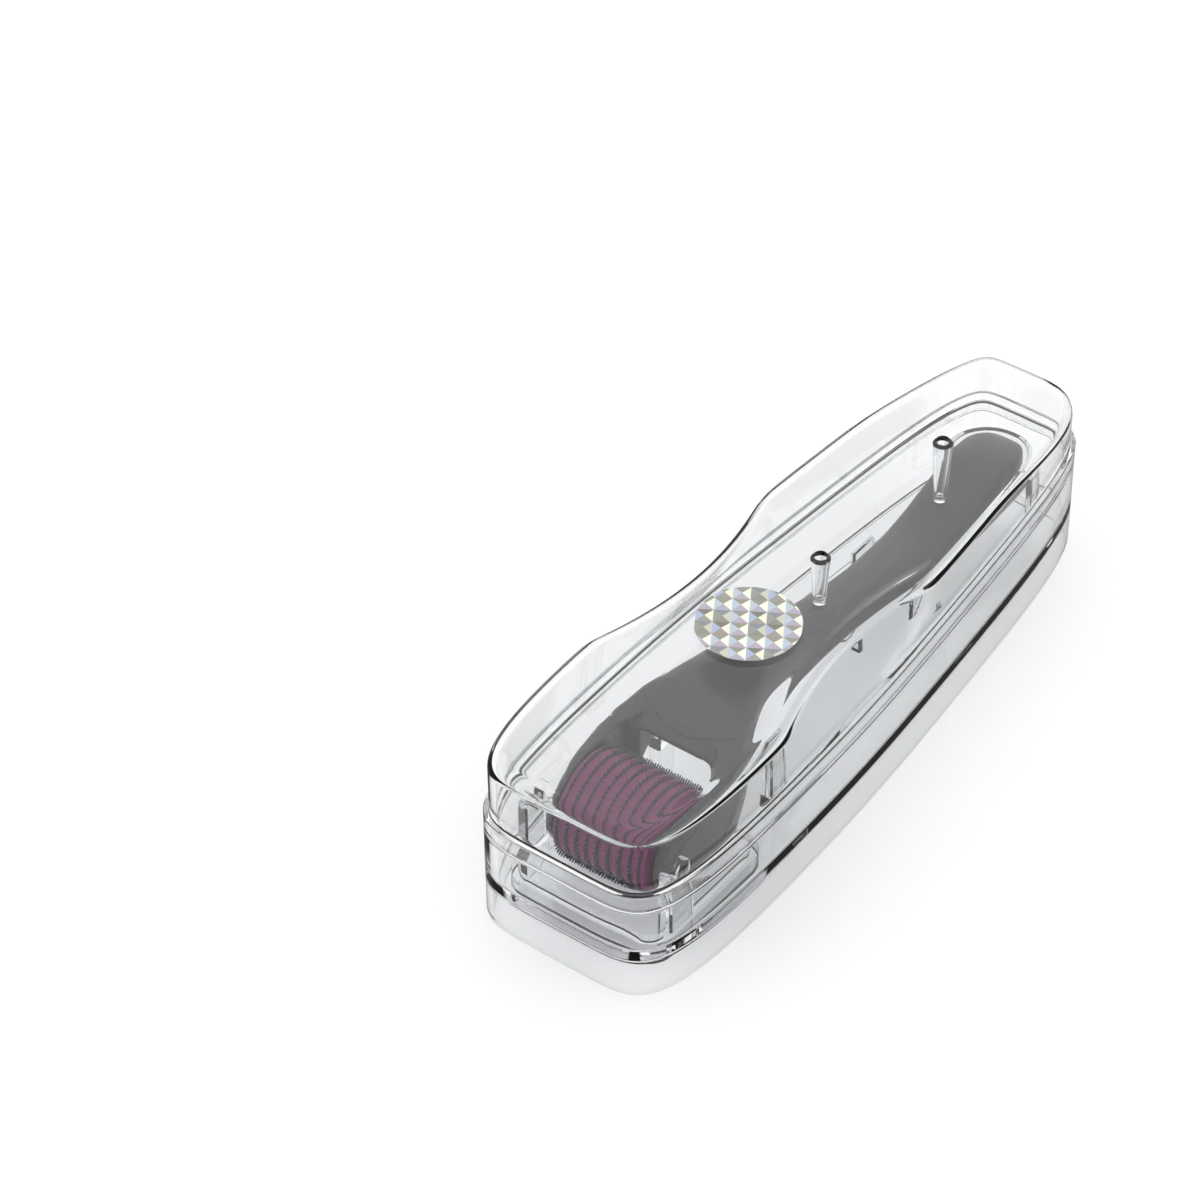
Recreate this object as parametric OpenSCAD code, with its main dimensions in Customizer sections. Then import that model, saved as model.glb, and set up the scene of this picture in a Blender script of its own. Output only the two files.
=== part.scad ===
// Derma roller with needle discs on a turning drum, lying in its clear storage case.
// Frame: origin at the middle of the case's footprint, +Z up, +Y towards the handle's tail.

/* [Storage case] */
// Length of the case, along Y
case_len = 148; // [146:1:156]
// Greatest width of the case, across X
case_w = 44.6; // [44:0.2:52]
// Height of the closed case without its label
case_h = 37; // [36:0.5:40]
// Height of the joint between base and lid
seam_z = 20; // [19:0.5:21]
// Height of the tray floor above the table
floor_z = 9; // [7:0.5:9]
// Thickness of the moulded walls
wall = 1.4; // [1.2:0.1:1.6]
// Height of the lid's flange above the joint
flange_h = 4; // [3.5:0.1:5]
// Height of the base's locating lip above the joint
lip_h = 2.9; // [2:0.1:3]
// How much narrower the tail end is than the head end, as a share of the width
tail_taper = 0.29; // [0.2:0.01:0.3]
// Depth of the finger scoops at the lid's top
scoop_depth = 5.2; // [3:0.1:6]
// Radius of the finger scoops
scoop_r = 80; // [60:1:90]
// Middle of the finger scoops, along Y
scoop_y = -9; // [-12:0.5:0]

/* [Lid fittings] */
// Places of the two hold-down pegs, along Y
peg_y = [4, 43];
// Heights of the pegs' lower ends
peg_z = [25.2, 22.0];
// Radius of a peg where it joins the lid
peg_top_r = 1.9; // [1.6:0.1:2.2]
// Radius of a peg's lower end
peg_end_r = 1.2; // [1:0.1:1.4]
// Radius of the round label
label_r = 9.5; // [7:0.5:10]
// Middle of the label, along Y
label_y = -18; // [-20:0.5:-12]

/* [Needle drum] */
// Place of the drum's axis, along Y
drum_y = -52; // [-52.5:0.5:-51.5]
// Height of the drum's axis
drum_z = 16.2; // [16:0.1:16.4]
// Radius over the rings of the drum
ring_r = 9.5; // [9:0.1:9.6]
// How far the needles stand out of the rings
needle_len = 1; // [0.2:0.1:1]
// Number of needles on one disc
needles_per_disc = 60; // [40:1:72]
// Distance from disc to disc
disc_pitch = 2.1; // [2:0.05:2.2]
// Thickness of a needle disc
disc_t = 0.25; // [0.15:0.01:0.3]
// Radius of the hub that the discs and rings sit on
hub_r = 6; // [4:0.1:7]
// Radius of the axle
axle_r = 1.25; // [1:0.05:1.5]

/* [Handle] */
// Radius of the rounded ends of the fork's arms
arm_end_r = 8.5; // [8:0.1:8.6]
// Half of the distance between the arms
fork_half_gap = 10.3; // [10.2:0.1:10.4]
// Rear edge of the fork's window, along Y
window_y = -39.5; // [-40:0.5:-39]
// Thickness of the handle's walls
shell_t = 1.5; // [1.2:0.1:1.6]

/* [Hidden] */
$fn = 96;
disc_count = 9;
end_ring_t = 0.9;
run_gap = 0.05;
moulding_gap = 0.1;
outline_power = 6;
outline_steps = 144;
lid_step = 1.0;
lip_clear = 0.1;
inner_inset = lid_step + wall;
lip_inset = wall - 0.15 + lip_clear;
tray_inset = lip_inset + wall;
scoop_tilt = atan(scoop_depth / (case_h - seam_z - flange_h));
label_t = 0.12;
bush_r = 2.6;
well_z = 4;
well_half_x = 14.6;
well_y = [-66, -37.5];
well_r = 3;
post_x = 14.6;
post_t = 2.6;
post_y = -63.5;
post_len = 6.5;
post_top = 21.5;
notch_y = -60.2;
notch_z = 19.2;
notch_side = 8;
neck_stop_x = 11.6;
neck_stop_y = -30;
neck_stop_size = [2.8, 5];
neck_stop_top = 24;
waist_stop_x = 7;
waist_stop_y = 25;
waist_stop_size = [1.4, 7];
waist_stop_top = 18;
rest_y = [12, 48];
rest_half = 3;
rest_gap = 0.5;
tail_gap = 0.4;
tail_stop_t = 1.2;
tail_stop_top = 21;
tail_stop_reach = 4;
bush_face = fork_half_gap - 0.2;
cover_x = 11.7;
hub_half = 9.95;
slot_corner_r = 4;

// Stations of the handle: place along Y, half width, top and underside.
stations = [
  [-60, 12.0, 22.0, 9.0], [-52, 13.2, 24.7, 8.0], [-44, 13.9, 25.3, 10.5], [-38, 12.9, 26.9, 16.5],
  [-31, 10.4, 29.5, 22.0], [-24, 8.0, 30.3, 24.0], [-16, 6.7, 29.2, 22.8], [-8, 5.9, 27.0, 19.6],
  [4, 5.2, 24.7, 15.8], [14, 5.1, 22.8, 13.4], [26, 5.4, 20.8, 12.0], [36, 6.0, 20.2, 11.9],
  [46, 6.7, 21.8, 12.8], [56, 7.2, 23.8, 14.2], [67, 7.0, 22.4, 15.4]];
tail_y = 67;
tail_end_r = 7.2;
parting_share = 0.45;

// One coordinate of a smooth curve through four neighbouring stations.
function blend4(a, b, c, d, t) =
  b + t * (c - a) / 2 + t * t * (2 * a - 5 * b + 4 * c - d) / 2 + t * t * t * (3 * b - a - 3 * c + d) / 2;
function station_index(y, i = 0) =
  i >= len(stations) - 2 || y <= stations[i + 1][0] ? i : station_index(y, i + 1);
function clamp_index(i) = max(0, min(len(stations) - 1, i));
function along(y, k) =
  let (i = station_index(y), t = (y - stations[i][0]) / (stations[i + 1][0] - stations[i][0]))
  blend4(stations[clamp_index(i - 1)][k], stations[i][k], stations[i + 1][k],
         stations[clamp_index(i + 2)][k], t);
function parting(y) = along(y, 3) + parting_share * (along(y, 2) - along(y, 3));

// The case's outline: a squircle whose width falls smoothly towards the tail.
function ramp(u) = (u + 0.15 + sqrt(pow(u + 0.15, 2) + 0.0625)) / 2;
function outline_point(a) =
  let (u = sign(sin(a)) * pow(abs(sin(a)), 2 / outline_power),
       v = sign(cos(a)) * pow(abs(cos(a)), 2 / outline_power))
  [case_w / 2 * (1 - tail_taper * ramp(u)) * v / (1 - tail_taper * ramp(-0.6)), case_len / 2 * u];
function outline(inset) = [for (i = [0 : outline_steps - 1])
  let (step = 360 / outline_steps, a = (i + 0.5) * step,
       along_edge = outline_point(a + step / 8) - outline_point(a - step / 8),
       inward = [-along_edge.y, along_edge.x] / norm(along_edge))
  outline_point(a) + inset * inward];

// A layer of the case between two heights, drawn in from the outline by inset.
module layer(inset, low, high) {
  translate([0, 0, low]) linear_extrude(high - low) polygon(outline(inset));
}

// A cylinder along X between two places, on the drum's axis.
module on_axis(r, x0, x1) {
  translate([x0, drum_y, drum_z]) rotate([0, 90, 0]) cylinder(r = r, h = x1 - x0);
}

// A ring along X between two places, on the drum's axis.
module ring(outer, inner, x0, x1) {
  difference() {
    on_axis(outer, x0, x1);
    on_axis(inner, x0 - 1, x1 + 1);
  }
}

// The two leaning cylinders that cut the finger scoops, grown inwards by grow.
module scoops(grow) {
  foot_x = case_w / 2 * (1 - tail_taper * ramp(2 * scoop_y / case_len)) - lid_step
    + scoop_r / cos(scoop_tilt);
  for (side = [-1, 1])
    translate([side * foot_x, scoop_y, seam_z + flange_h])
      rotate([0, -side * scoop_tilt, 0])
        translate([0, 0, -40]) cylinder(r = scoop_r + grow, h = 100, $fn = 180);
}

// A tapered hold-down peg with a blind hole that opens in the lid's top.
module peg(y, low) {
  difference() {
    translate([0, y, low]) cylinder(r1 = peg_end_r, r2 = peg_top_r, h = case_h - wall / 2 - low);
    translate([0, y, low + wall]) cylinder(r1 = peg_end_r - 0.5, r2 = peg_top_r - 0.6, h = case_h);
  }
}

// Cradles that stand on the tray floor: under the arms, beside neck and waist, and round the tail.
module cradles() {
  low = floor_z - wall / 2;
  post_low = well_z - wall / 2;
  for (side = [-1, 1]) {
    difference() {
      translate([side * post_x - post_t / 2, post_y, post_low])
        cube([post_t, post_len, post_top - post_low]);
      translate([side * post_x - post_t, notch_y, notch_z])
        rotate([45, 0, 0]) cube([2 * post_t, notch_side, notch_side]);
    }
    stop(side * neck_stop_x, neck_stop_y, neck_stop_size, low, neck_stop_top);
    stop(side * waist_stop_x, waist_stop_y, waist_stop_size, low, waist_stop_top);
  }
  for (y = rest_y)
    stop(0, y, [2 * rest_half, wall], low, along(y + wall / 2, 3) - rest_gap);
  difference() {
    translate([0, tail_y - tail_end_r, low])
      cylinder(r = tail_end_r + tail_gap + tail_stop_t, h = tail_stop_top - low);
    translate([0, tail_y - tail_end_r, low - 1]) cylinder(r = tail_end_r + tail_gap, h = case_h);
    translate([-case_w / 2, 0, low - 1]) cube([case_w, tail_y - tail_stop_reach, case_h]);
  }
}

// An upright block centred on x, from y towards the tail, between two heights.
module stop(x, y, size, low, high) {
  translate([x - size.x / 2, y, low]) cube([size.x, size.y, high - low]);
}

module case_base() {
  color([0.86, 0.89, 0.91, 0.35]) {
    difference() {
      union() {
        layer(0, 0, seam_z);
        layer(lip_inset, seam_z - 1, seam_z + lip_h);
      }
      layer(tray_inset, floor_z, case_h);
      difference() {
        layer(wall, -1, floor_z - wall);
        well(wall, well_z - wall, floor_z);
      }
      well(0, well_z, floor_z + 1);
    }
    cradles();
  }
}

// The well in the tray floor that keeps the needles clear, grown outwards by grow.
module well(grow, low, high) {
  translate([0, 0, low]) linear_extrude(high - low)
    polygon(rounded_plan(well_half_x + grow, well_y[0] - grow, well_y[1] + grow, well_r + grow));
}

module case_lid() {
  color([0.88, 0.91, 0.93, 0.3]) difference() {
    union() {
      difference() {
        union() {
          layer(0, seam_z, seam_z + flange_h);
          difference() {
            layer(lid_step, seam_z + flange_h / 2, case_h);
            scoops(0);
          }
        }
        difference() {
          layer(inner_inset, seam_z - 1, case_h - wall);
          scoops(wall + 0.1);
        }
        layer(lip_inset - lip_clear, seam_z - 1, seam_z + lip_h + 0.2);
      }
      for (i = [0, 1]) peg(peg_y[i], peg_z[i]);
    }
    for (i = [0, 1])
      translate([0, peg_y[i], peg_z[i] + wall])
        cylinder(r1 = peg_end_r - 0.5, r2 = peg_top_r - 0.6, h = case_h + 1 - peg_z[i] - wall);
  }
}

module lid_label() {
  color([0.78, 0.8, 0.76]) translate([0, label_y, case_h]) cylinder(r = label_r, h = label_t);
}

// Plan of the handle, drawn in by inset, with a round tail.
module handle_plan(inset) {
  ys = [for (y = [-60 : 2 : tail_y - tail_end_r]) y];
  polygon(concat(
    [for (y = ys) [along(y, 1) - inset, y]],
    [for (a = [4 : 8 : 176])
      [(tail_end_r - inset) * cos(a), tail_y - tail_end_r + (tail_end_r - inset) * sin(a)]],
    [for (i = [len(ys) - 1 : -1 : 0]) [inset - along(ys[i], 1), ys[i]]]));
}

// Side view of the handle from y0 to y1, drawn in by inset. It starts at the underside or at the
// parting line, and ends at the top or at the parting line. The points lie on one 2 mm grid.
module handle_side(y0, y1, from_parting, to_parting, inset) {
  ys = concat([y0], [for (y = [-60 : 2 : 66]) if (y > y0 && y < y1) y], [y1]);
  polygon(concat(
    [for (y = ys) [y, from_parting ? parting(y) : along(y, 3) + inset]],
    [for (i = [len(ys) - 1 : -1 : 0])
      [ys[i], to_parting ? parting(ys[i]) : along(ys[i], 2) - inset]]));
}

// A flat side view swept across X.
module across() {
  rotate([90, 0, 90]) translate([0, 0, -20]) linear_extrude(40) children();
}

// A rounded rectangle in plan, half_x to each side and from y0 to y1.
function rounded_plan(half_x, y0, y1, r) = [for (q = [0 : 3], a = [0 : 9 : 90])
  let (cx = q == 0 || q == 3 ? half_x - r : r - half_x, cy = q < 2 ? y1 - r : y0 + r)
  [cx + r * cos(a + 90 * q), cy + r * sin(a + 90 * q)]];

// The gap between the fork's arms, and the hollow under the head between them.
module fork_slot() {
  linear_extrude(60) polygon(rounded_plan(fork_half_gap, -90, window_y, slot_corner_r));
  intersection() {
    linear_extrude(60) polygon(rounded_plan(fork_half_gap - 0.8, -90, -29, slot_corner_r));
    across() polygon([[-90, 0], [-20, 0], [-29, 25.4], [window_y, 23], [-90, 23]]);
  }
}

// The outer form of the fork's arms, as far back as the window.
module arm_form() {
  intersection() {
    linear_extrude(60) handle_plan(0);
    across() {
      handle_side(drum_y, window_y + 3, false, false, 0);
      translate([drum_y, drum_z]) circle(arm_end_r);
    }
  }
}

// The tear-shaped pocket in an arm's outer face, which its cover fills.
module cover_form(gap) {
  across() {
    translate([drum_y, drum_z]) circle(5 + gap);
    translate([drum_y, drum_z]) rotate(38) translate([0, -3.2 - gap]) square([11, 6.4 + 2 * gap]);
    translate([drum_y, drum_z]) rotate(38) translate([11, 0]) circle(3.2 + gap);
  }
}

module arm_cover(side) {
  color([0.06, 0.06, 0.07]) intersection() {
    arm_form();
    cover_form(0);
    translate([side > 0 ? cover_x : -cover_x - 20, -80, 0]) cube([20, 60, 60]);
  }
}

module handle_lower_shell() {
  color([0.05, 0.05, 0.06]) difference() {
    union() {
      arm_form();
      intersection() {
        linear_extrude(60) handle_plan(0);
        across() handle_side(window_y - 4, tail_y, false, true, 0);
      }
    }
    fork_slot();
    intersection() {
      linear_extrude(60) handle_plan(shell_t);
      across() handle_side(-20, tail_y, false, true, shell_t);
    }
    for (side = [-1, 1]) {
      on_axis(bush_r, side > 0 ? 5 : -cover_x, side > 0 ? cover_x : -5);
      intersection() {
        cover_form(moulding_gap);
        translate([side > 0 ? cover_x : -cover_x - 20, -80, 0]) cube([20, 60, 60]);
      }
    }
  }
}

module handle_upper_shell() {
  color([0.07, 0.07, 0.08]) difference() {
    intersection() {
      linear_extrude(60) handle_plan(0);
      across() handle_side(window_y + 3, tail_y, true, false, 0);
    }
    intersection() {
      linear_extrude(60) handle_plan(shell_t);
      across() handle_side(-20, tail_y, true, false, shell_t);
    }
    arm_form();
  }
}

module axle_bush(side) {
  color([0.8, 0.8, 0.78])
    ring(bush_r, axle_r, side > 0 ? bush_face : -cover_x, side > 0 ? cover_x : -bush_face);
}

module axle() {
  color("silver") on_axis(axle_r, -cover_x, cover_x);
}

module drum_hub() {
  color([0.35, 0.1, 0.3]) ring(hub_r, axle_r + run_gap, -hub_half, hub_half);
}

function disc_x(i) = (i - (disc_count + 1) / 2) * disc_pitch;

// Disc number i: a thin plate whose rim is cut into needles.
module needle_disc(i) {
  step = 360 / needles_per_disc;
  half_base = step * 0.13;
  rim = ring_r - 0.4;
  tip = ring_r + needle_len;
  color("lightsteelblue") difference() {
    translate([disc_x(i) - disc_t / 2, drum_y, drum_z]) rotate([90, 0, 90])
      linear_extrude(disc_t) polygon([for (k = [0 : needles_per_disc - 1], p = [-1, 0, 1])
        let (a = k * step + p * half_base, r = p == 0 ? tip : rim) [r * cos(a), r * sin(a)]]);
    on_axis(hub_r, -20, 20);
  }
}

// Ring number i, between disc i and the next one.
module spacer_ring(i) {
  color([0.45, 0.12, 0.38])
    ring(ring_r, hub_r, disc_x(i) + disc_t / 2, disc_x(i + 1) - disc_t / 2);
}

module end_ring(side) {
  inner_x = disc_x(disc_count) + disc_t / 2;
  color([0.42, 0.1, 0.35])
    ring(ring_r, hub_r, side > 0 ? inner_x : -inner_x - end_ring_t,
         side > 0 ? inner_x + end_ring_t : -inner_x);
}

case_base();
case_lid();
lid_label();
handle_upper_shell();
handle_lower_shell();
arm_cover(-1);  // left_arm_cover
arm_cover(1);  // right_arm_cover
axle_bush(-1);  // left_axle_bush
axle_bush(1);  // right_axle_bush
axle();
drum_hub();
end_ring(-1);  // left_end_ring
end_ring(1);  // right_end_ring
for (i = [1 : disc_count])
  needle_disc(i);
for (i = [1 : disc_count - 1])
  spacer_ring(i);
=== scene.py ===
import math

import bmesh
import bpy
import numpy as np
from mathutils import Matrix, Vector


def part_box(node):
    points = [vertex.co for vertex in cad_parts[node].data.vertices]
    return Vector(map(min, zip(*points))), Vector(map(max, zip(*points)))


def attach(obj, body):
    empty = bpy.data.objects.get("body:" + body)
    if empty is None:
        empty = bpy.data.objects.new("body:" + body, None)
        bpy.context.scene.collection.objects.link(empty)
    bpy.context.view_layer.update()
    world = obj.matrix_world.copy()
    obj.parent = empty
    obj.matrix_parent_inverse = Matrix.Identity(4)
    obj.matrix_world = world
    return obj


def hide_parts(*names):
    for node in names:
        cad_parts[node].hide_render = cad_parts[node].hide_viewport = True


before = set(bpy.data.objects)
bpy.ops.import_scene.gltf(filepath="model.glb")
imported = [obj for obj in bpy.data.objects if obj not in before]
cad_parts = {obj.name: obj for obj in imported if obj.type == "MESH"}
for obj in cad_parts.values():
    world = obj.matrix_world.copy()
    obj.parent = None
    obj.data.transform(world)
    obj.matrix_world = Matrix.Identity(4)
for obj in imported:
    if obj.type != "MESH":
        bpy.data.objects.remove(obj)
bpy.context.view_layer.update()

# Shapes are built in millimetres in the row frame and scaled to metres when they become meshes.
MM = 0.001


def box_mm(node):
    """Lowest and highest corner of a CAD node, in millimetres."""
    lo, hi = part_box(node)
    return np.array(lo) / MM, np.array(hi) / MM


base_lo, base_hi = box_mm("case_base")
lid_lo, lid_hi = box_mm("case_lid")
label_lo, label_hi = box_mm("lid_label")
axle_lo, axle_hi = box_mm("axle")
ring_lo, ring_hi = box_mm("spacer_ring_1")
disc_hi = box_mm("needle_disc_1")[1]
hub_lo, hub_hi = box_mm("drum_hub")
tail_hi = box_mm("handle_lower_shell")[1]
DISCS = [f"needle_disc_{i}" for i in range(1, 10)]
SPACERS = [f"spacer_ring_{i}" for i in range(1, 9)]

# A hair's breadth: keeps neighbours from touching, and tips and axes from closing to a point
HAIR = 0.02

# Case
CASE_LEN = base_hi[1] - base_lo[1]
CASE_W = base_hi[0] - base_lo[0]
CASE_H = lid_hi[2]
SEAM_Z = lid_lo[2]
FLANGE_H = 4.0
FLANGE_Z = SEAM_Z + FLANGE_H
# Half of the gap between base and lid at the joint
SEAM_GAP = 0.02
LIP_TOP = SEAM_Z + 2.9
FLOOR_Z = 9.0
WALL = 1.4
LID_STEP = 1.0
LIP_INSET = 1.35
LIP_CLEAR = 0.1
TRAY_INSET = LIP_INSET + WALL
INNER_INSET = LID_STEP + WALL
TAIL_TAPER = 0.29
# Where the taper begins, how softly, and where the case is widest, in shares of half its length
TAPER_SHIFT = 0.15
TAPER_SOFTNESS = 0.0625
WIDEST_AT = -0.6
OUTLINE_POWER = 6
SCOOP_R = 80.0
SCOOP_DEPTH = 5.2
SCOOP_Y = -9.0
SCOOP_BLEND = 0.8
TOP_FILLET = 3.0
TAIL_FILLET = 7.0
# The fillet grows from its small to its large radius over this stretch along Y.
FILLET_START = 34
FILLET_SPAN = 38
FILLET_STEPS = 10
CONTOUR_POINTS = 360
# Place along Y and lower end of each peg
PEG_PLACES = [(4.0, 25.2), (43.0, 22.0)]
PEG_TOP_R = 1.9
PEG_END_R = 1.2
PEG_ROUND = 0.35
# Above its end a peg widens slowly up to a knee, and then faster.
PEG_KNEE_Z = 6
PEG_KNEE_GROWTH = 0.28
PEG_HOLE_INSET = 0.5
WELL_Z = 4.0
WELL_HALF_X = 14.6
WELL_Y = (-66.0, -37.5)
WELL_R = 3.0
WELL_EDGE = 0.5

# Cradles on the tray floor's right: ranges along X, Y and Z, lean of the sides, width of the bevel
TRAY_LOW = FLOOR_Z - WALL / 2
FRONT_POST = ((13.3, 15.9), (-63.5, -57), (WELL_Z - WALL / 2, 21.5), 0.25, 0.35)
NECK_STOP = ((10.2, 13), (-30, -25), (TRAY_LOW, 24), 0.45, 0.35)
WAIST_STOP = ((6.3, 7.7), (25, 32), (TRAY_LOW, 18), 0.2, 0.3)
POST_NOTCH = [(-60.2, 18.6), (-57.4, 22.4), (-63.0, 22.4)]
REST_Y = (12.0, 48.0)
REST_HALF = 3
REST_GAP = 0.5
TAIL_STOP_TOP = 21
TAIL_STOP_INNER = 0.4
TAIL_STOP_OUTER = 1.6

# Drum
DRUM_Y = (axle_lo[1] + axle_hi[1]) / 2
DRUM_Z = (axle_lo[2] + axle_hi[2]) / 2
RING_R = (ring_hi[2] - ring_lo[2]) / 2
TIP_R = disc_hi[1] - DRUM_Y
HUB_R = (hub_hi[2] - hub_lo[2]) / 2
RING_EDGE = 0.22
RING_GAP = 0.04
NEEDLES = 60
NEEDLE_SIDES = 8
# Height over the rings and radius at each step of a needle, below its tip
NEEDLE_STEPS = [(-0.5, 0.2), (0.3, 0.2), (0.8, 0.15)]
NEEDLE_TIP_R = 0.03

# Handle: place along Y, half width, top, underside, half width of the crease along the top.
STATIONS = [
    (-60, 12.0, 22.0, 9.0, 11.5), (-52, 13.2, 24.7, 8.0, 12.6), (-44, 13.9, 25.3, 10.5, 13.2),
    (-38, 12.9, 26.9, 16.5, 12.2), (-31, 10.4, 29.5, 22.0, 9.8), (-24, 8.0, 30.3, 24.0, 7.4),
    (-16, 6.7, 29.2, 22.8, 5.9), (-8, 5.9, 27.0, 19.6, 4.9), (4, 5.2, 24.7, 15.8, 3.7),
    (14, 5.1, 22.8, 13.4, 3.2), (26, 5.4, 20.8, 12.0, 4.0), (36, 6.0, 20.2, 11.9, 4.8),
    (46, 6.7, 21.8, 12.8, 5.1), (56, 7.2, 23.8, 14.2, 5.4), (67, 7.0, 22.4, 15.4, 5.0)]
TAIL_Y = tail_hi[1]
TAIL_END_R = 7.2
ARM_END_R = 8.5
FORK_HALF_GAP = 10.3
WINDOW_Y = -39.5
COVER_X = 11.7
# The arms are boxy in section, and the section turns round over this stretch along Y.
BOXY_END = -30
BOXY_SPAN = 9
BOXY_POWER = 9
TOP_POWER = 3.2
BELLY_POWER = 2.5
PARTING_SHARE = 0.45
HOLLOW_INSET = 2.8
LEAN_INSET = 1.5
LEAN_FOOT_Z = 23.6
LEAN_TOP_Z = 28.5
LEAN_RUN = 3.2
BUSH_BORE_R = 2.6
BORE_X = (5, 12.4)
# How much smaller a cover is than its outline, and how much larger its pocket
COVER_PLAY = 0.06
POCKET_PLAY = 0.14
SEAM_APEX_Y = -38.6
SEAM_CLIMB = 13
GROOVE_DEPTH = 0.16
GROOVE_HEIGHT = 0.28
PARTING_GAP = 0.04
VOXEL = 0.42
SMOOTH_ROUNDS = 5
# Beyond every surface of the object
FAR = 90

# Label
LABEL_CELL = 3.1
LABEL_RELIEF = 0.085
LABEL_TURN = math.radians(32)
# For each way that a facet faces, a painted highlight or painted shade for how light falls on facets
# facing that way, in tints that vary between neighbouring cells
LABEL_PAINTED_LIGHT_AND_TONE_TINTS = [[(0.84, 0.82, 0.66), (0.9, 0.89, 0.76), (0.6, 0.59, 0.5)],
               [(0.22, 0.22, 0.18), (0.32, 0.32, 0.27), (0.27, 0.29, 0.31)],
               [(0.42, 0.48, 0.64), (0.5, 0.58, 0.66), (0.33, 0.34, 0.32)],
               [(0.36, 0.34, 0.31), (0.46, 0.42, 0.5), (0.3, 0.3, 0.26)]]


# ---------------------------------------------------------------- mesh helpers

def new_object(name, verts, faces):
    """A mesh object from millimetre points."""
    mesh = bpy.data.meshes.new(name)
    mesh.from_pydata([tuple(float(c) * MM for c in v) for v in verts], [], faces)
    mesh.update()
    obj = bpy.data.objects.new(name, mesh)
    bpy.context.scene.collection.objects.link(obj)
    return obj


def outward(obj):
    """Turns every face of a closed mesh outwards."""
    bm = bmesh.new()
    bm.from_mesh(obj.data)
    bmesh.ops.recalc_face_normals(bm, faces=bm.faces)
    if bm.calc_volume(signed=True) < 0:
        bmesh.ops.reverse_faces(bm, faces=bm.faces)
    bm.to_mesh(obj.data)
    bm.free()
    return obj


def shrunk(ring):
    """Flat rings that close in on the middle of a ring, to pave a cap with small faces."""
    ring = np.asarray(ring, float)
    middle = ring.mean(0)
    return [middle + (ring - middle) * share for share in (0.8, 0.6, 0.4, 0.2, 0.02)]


def stacked(name, rings):
    """A closed mesh through rings of equally many points, with a cap on the first and on the last."""
    count = len(rings[0])
    verts = [p for ring in rings for p in ring]
    faces = []
    for k in range(len(rings) - 1):
        a, b = k * count, (k + 1) * count
        for i in range(count):
            j = (i + 1) % count
            faces.append((a + i, a + j, b + j, b + i))
    faces.append(tuple(reversed(range(count))))
    faces.append(tuple(range((len(rings) - 1) * count, len(rings) * count)))
    return outward(new_object(name, verts, faces))


def lathe(name, profile, x_axis=True, centre=(0.0, 0.0, 0.0), steps=96):
    """A closed ring: a loop of (place along the axis, radius) turned about an axis."""
    verts, faces = [], []
    count = len(profile)
    for s in range(steps):
        a = 2 * math.pi * s / steps
        for along_axis, r in profile:
            if x_axis:
                p = (along_axis, r * math.cos(a), r * math.sin(a))
            else:
                p = (r * math.cos(a), r * math.sin(a), along_axis)
            verts.append(tuple(p[i] + centre[i] for i in range(3)))
    for s in range(steps):
        t = (s + 1) % steps
        for i in range(count):
            j = (i + 1) % count
            faces.append((s * count + i, s * count + j, t * count + j, t * count + i))
    return outward(new_object(name, verts, faces))


def prism(name, plan, low, high, axis="z"):
    """A closed prism over a plan of 2-D points, along Z or along X."""
    def place(p, h):
        return (p[0], p[1], h) if axis == "z" else (h, p[0], p[1])
    verts = [place(p, low) for p in plan] + [place(p, high) for p in plan]
    n = len(plan)
    faces = [tuple(reversed(range(n))), tuple(range(n, 2 * n))]
    faces += [(i, (i + 1) % n, n + (i + 1) % n, n + i) for i in range(n)]
    return outward(new_object(name, verts, faces))


def applied(obj):
    """Applies the object's modifiers to its mesh."""
    depsgraph = bpy.context.evaluated_depsgraph_get()
    mesh = bpy.data.meshes.new_from_object(obj.evaluated_get(depsgraph))
    obj.modifiers.clear()
    old, obj.data = obj.data, mesh
    bpy.data.meshes.remove(old)
    return obj


def boolean(obj, other, operation, keep=False):
    """Joins, cuts or intersects obj with other, which is used up unless keep is set."""
    mod = obj.modifiers.new("boolean", "BOOLEAN")
    mod.operation = operation
    mod.object = other
    mod.solver = "MANIFOLD"
    applied(obj)
    if not keep:
        bpy.data.objects.remove(other)
    return obj


def bevelled(obj, width, segments=2, angle=30):
    """Bevels the edges that are sharper than the angle."""
    mod = obj.modifiers.new("bevel", "BEVEL")
    mod.width = width * MM
    mod.segments = segments
    mod.limit_method = "ANGLE"
    mod.angle_limit = math.radians(angle)
    return applied(obj)


def smooth(obj, angle=35):
    """Smooth shading with hard edges above the angle."""
    for p in obj.data.polygons:
        p.use_smooth = True
    obj.data.set_sharp_from_angle(angle=math.radians(angle))
    return obj


def weighted(obj, angle=35):
    """Smooth shading in which large flat faces keep their own direction."""
    smooth(obj, angle)
    mod = obj.modifiers.new("weighted", "WEIGHTED_NORMAL")
    mod.keep_sharp = True
    mod.weight = 80
    return obj


def finish_piece(obj, body, nodes, material):
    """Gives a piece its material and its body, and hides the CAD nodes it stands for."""
    obj.data.materials.clear()
    obj.data.materials.append(material)
    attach(obj, body)
    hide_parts(*nodes)
    return obj


# ---------------------------------------------------------------- materials

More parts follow.
